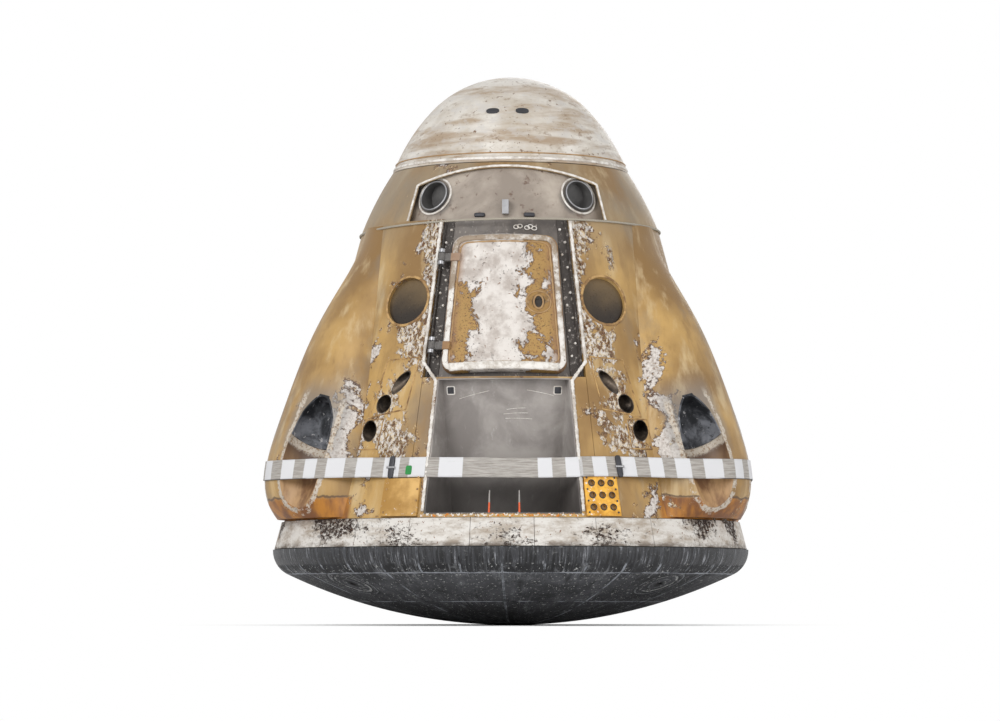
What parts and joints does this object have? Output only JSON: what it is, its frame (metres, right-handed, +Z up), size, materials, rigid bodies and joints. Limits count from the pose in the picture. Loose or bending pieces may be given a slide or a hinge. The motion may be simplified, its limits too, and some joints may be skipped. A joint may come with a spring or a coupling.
{
  "type": "space capsule",
  "caption": "Crew capsule after re-entry with a tiled heat shield, scorched side walls, a hinged side hatch, open parachute bays, engine pods and a hinged nose cone.",
  "frame": {"origin": "lowest point of the heat shield, on the capsule's axis", "axes": "+Z up along the axis, -Y towards the side hatch, +X to the right when facing the hatch from outside"},
  "size_m": [3.8066, 3.8, 4.4],
  "materials": {
    "scorched_panel": "matt, scorched",
    "shield_tile": "matt, charred",
    "dark_metal": "matt",
    "carrier": "satin",
    "white_band": "matt",
    "bay_lining": "matt",
    "channel_grey": "matt",
    "bare_metal": "satin",
    "gold_plate": "satin",
    "nose_white": "matt, scorched",
    "pane_glass": "clear, dark",
    "cabin_white": "matt",
    "display_black": "gloss",
    "block_metal": "satin"
  },
  "bodies": {
    "hull": {"abort_engines": "dark_metal", "abort_pod_front_left": "scorched_panel", "abort_pod_front_right": "scorched_panel", "abort_pod_rear_left": "scorched_panel", "abort_pod_rear_right": "scorched_panel", "base_frame": "carrier", "cabin_floor": "cabin_white", "connector_plate": "gold_plate", "display_panel": "display_black", "docking_ring": "bare_metal", "drogue_bay_liner": "bay_lining", "drogue_mortars": "dark_metal", "forward_hatch_forks": "bare_metal", "forward_section": "scorched_panel", "hatch_hinge_forks": "bare_metal", "insulation_band": "white_band", "lift_lug": "bare_metal", "main_bay_liner": "bay_lining", "nose_hinge_forks": "bare_metal", "riser_channels": "channel_grey", "seat_frame": "bare_metal", "seats": "cabin_white", "service_block": "block_metal", "service_panel": "gold_plate", "shield_carrier": "carrier", "shield_centre_tile": "shield_tile", "shield_edge_tiles": "shield_tile", "shield_inner_tiles": "shield_tile", "shield_outer_tiles": "shield_tile", "shield_tie_pads": "dark_metal", "thrusters": "dark_metal", "wall_front": "scorched_panel", "wall_front_left": "scorched_panel", "wall_front_right": "scorched_panel", "wall_rear": "scorched_panel", "wall_rear_left": "scorched_panel", "wall_rear_right": "scorched_panel", "wall_side_left": "scorched_panel", "wall_side_right": "scorched_panel", "window_panes": "pane_glass"},
    "side_hatch": {"side_hatch": "white_band"},
    "forward_hatch": {"forward_hatch": "cabin_white"},
    "nose_cone": {"nose_cone": "nose_white"}
  },
  "joints": [
    {"name": "side_hatch_hinge", "type": "hinge", "parent": "hull", "child": "side_hatch", "pos_m": [-0.52294, -1.30085, 2.49427], "axis": [-0.0961, -0.2389, -0.9663], "range_deg": [0, 120]},
    {"name": "nose_cone_hinge", "type": "hinge", "parent": "hull", "child": "nose_cone", "pos_m": [0, 1.012, 3.626], "axis": [-1, 0, 0], "range_deg": [0, 105]},
    {"name": "forward_hatch_hinge", "type": "hinge", "parent": "hull", "child": "forward_hatch", "pos_m": [0, 0.505, 3.269], "axis": [1, 0, 0], "range_deg": [0, 88]}
  ]
}
